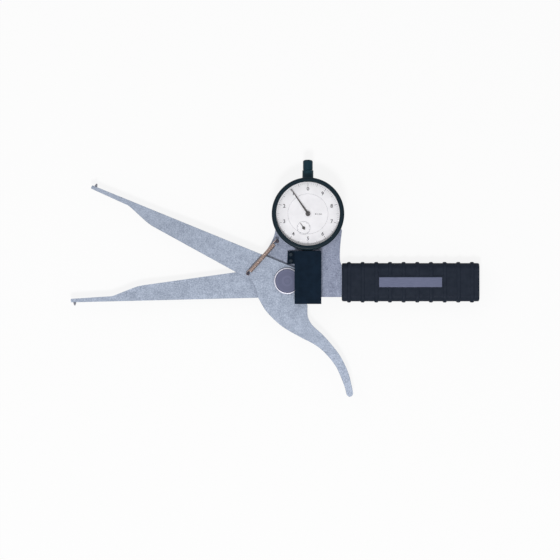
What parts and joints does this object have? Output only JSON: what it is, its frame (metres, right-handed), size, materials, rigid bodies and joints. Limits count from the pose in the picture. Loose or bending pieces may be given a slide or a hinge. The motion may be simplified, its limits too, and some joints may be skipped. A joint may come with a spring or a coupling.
{
  "type": "inside dial caliper",
  "caption": "Inside caliper with two thin arms, a spring-opened trigger lever, a round dial gauge with a turning bezel, and a ribbed handle.",
  "frame": {"origin": "pivot axis of the jaw lever at the rear face of the pivot nut, the plane that the tool lies on", "axes": "+X runs from the pivot along the handle, +Y from the pivot towards the dial gauge, +Z out of the dial towards the reader"},
  "size_m": [0.3231, 0.1874, 0.0293],
  "materials": {
    "steel": "satin ground steel",
    "dark_steel": "satin dark steel",
    "bright_steel": "polished",
    "brass": "satin",
    "black_paint": "satin black paint",
    "black_metal": "semi-gloss black",
    "handle_plastic": "matte",
    "dial_white": "matte white",
    "pointer_black": "satin dark brown",
    "spring_steel": "drawn wire",
    "silver": "satin",
    "crystal": "clear"
  },
  "bodies": {
    "frame": {"body_plate": "steel", "contact_fixed": "bright_steel", "pivot_bolt": "dark_steel", "pivot_nut": "steel", "pivot_rear_washer": "bright_steel", "pivot_slip_washer": "brass", "spring_post_fixed": "dark_steel", "stop_pin": "steel", "return_spring": "spring_steel", "transfer_cover": "black_paint", "cover_screw_1": "dark_steel", "cover_screw_2": "dark_steel", "gauge_case": "black_metal", "stem_bush": "steel", "neck_bush": "black_metal", "spindle_cap": "black_paint", "case_screw_1": "steel", "case_screw_2": "steel", "case_screw_3": "steel", "plunger_spring": "spring_steel", "movement_plate_rear": "brass", "movement_plate_middle": "brass", "movement_plate_front": "brass", "movement_screw_1": "steel", "movement_screw_2": "steel", "movement_screw_3": "steel", "hairspring": "spring_steel", "hairspring_stud": "steel", "dial_face": "dial_white", "handle_front": "handle_plastic", "handle_rear": "handle_plastic", "name_plate": "silver", "handle_screw_1": "steel", "handle_screw_2": "steel", "handle_screw_3": "steel"},
    "lever": {"jaw_lever": "steel", "contact_moving": "bright_steel", "spring_post_lever": "dark_steel", "anvil_pin": "bright_steel"},
    "spindle": {"rack_spindle": "steel", "contact_tip": "bright_steel", "spindle_guide_pin": "steel"},
    "counter": {"counter_arbor": "steel", "counter_wheel": "brass", "counter_hand": "pointer_black"},
    "centre": {"centre_arbor": "steel", "main_pointer": "pointer_black"},
    "take_up": {"take_up_arbor": "steel", "take_up_wheel": "brass", "hairspring_collet": "brass"},
    "bezel": {"bezel": "black_metal", "crystal": "crystal", "crystal_retainer": "black_metal", "scale_ring": "dial_white"}
  },
  "joints": [
    {"name": "jaw_pivot", "type": "hinge", "parent": "frame", "child": "lever", "pos_m": [0, 0, 0], "axis": [0, 0, 1], "range_deg": [0, 17], "stiffness_Nm_per_rad": 0.34, "springref_deg": -34.38, "deforming": ["return_spring"]},
    {"name": "spindle_slide", "type": "slide", "parent": "frame", "child": "spindle", "axis": [0, 1, 0], "range_m": [0, 0.0051], "deforming": ["plunger_spring"]},
    {"name": "counter_spin", "type": "hinge", "parent": "frame", "child": "counter", "pos_m": [0.0129, 0.0418, 0], "axis": [0, 0, 1], "range_deg": [0, 181.5]},
    {"name": "centre_spin", "type": "hinge", "parent": "frame", "child": "centre", "pos_m": [0.0163, 0.0529, 0], "axis": [0, 0, 1], "range_deg": [-1812, 0]},
    {"name": "take_up_spin", "type": "hinge", "parent": "frame", "child": "take_up", "pos_m": [0.02211, 0.06295, 0], "axis": [0, 0, 1], "range_deg": [0, 181.5]},
    {"name": "bezel_turn", "type": "hinge", "parent": "frame", "child": "bezel", "pos_m": [0.0163, 0.0529, 0], "axis": [0, 0, 1], "continuous": true}
  ],
  "couplings": [
    {"joint": "spindle_slide", "follows": "jaw_pivot", "m_per_rad": 0.016938},
    {"joint": "counter_spin", "follows": "jaw_pivot", "ratio": 10.642},
    {"joint": "centre_spin", "follows": "jaw_pivot", "ratio": -106.42},
    {"joint": "take_up_spin", "follows": "jaw_pivot", "ratio": 10.642}
  ]
}
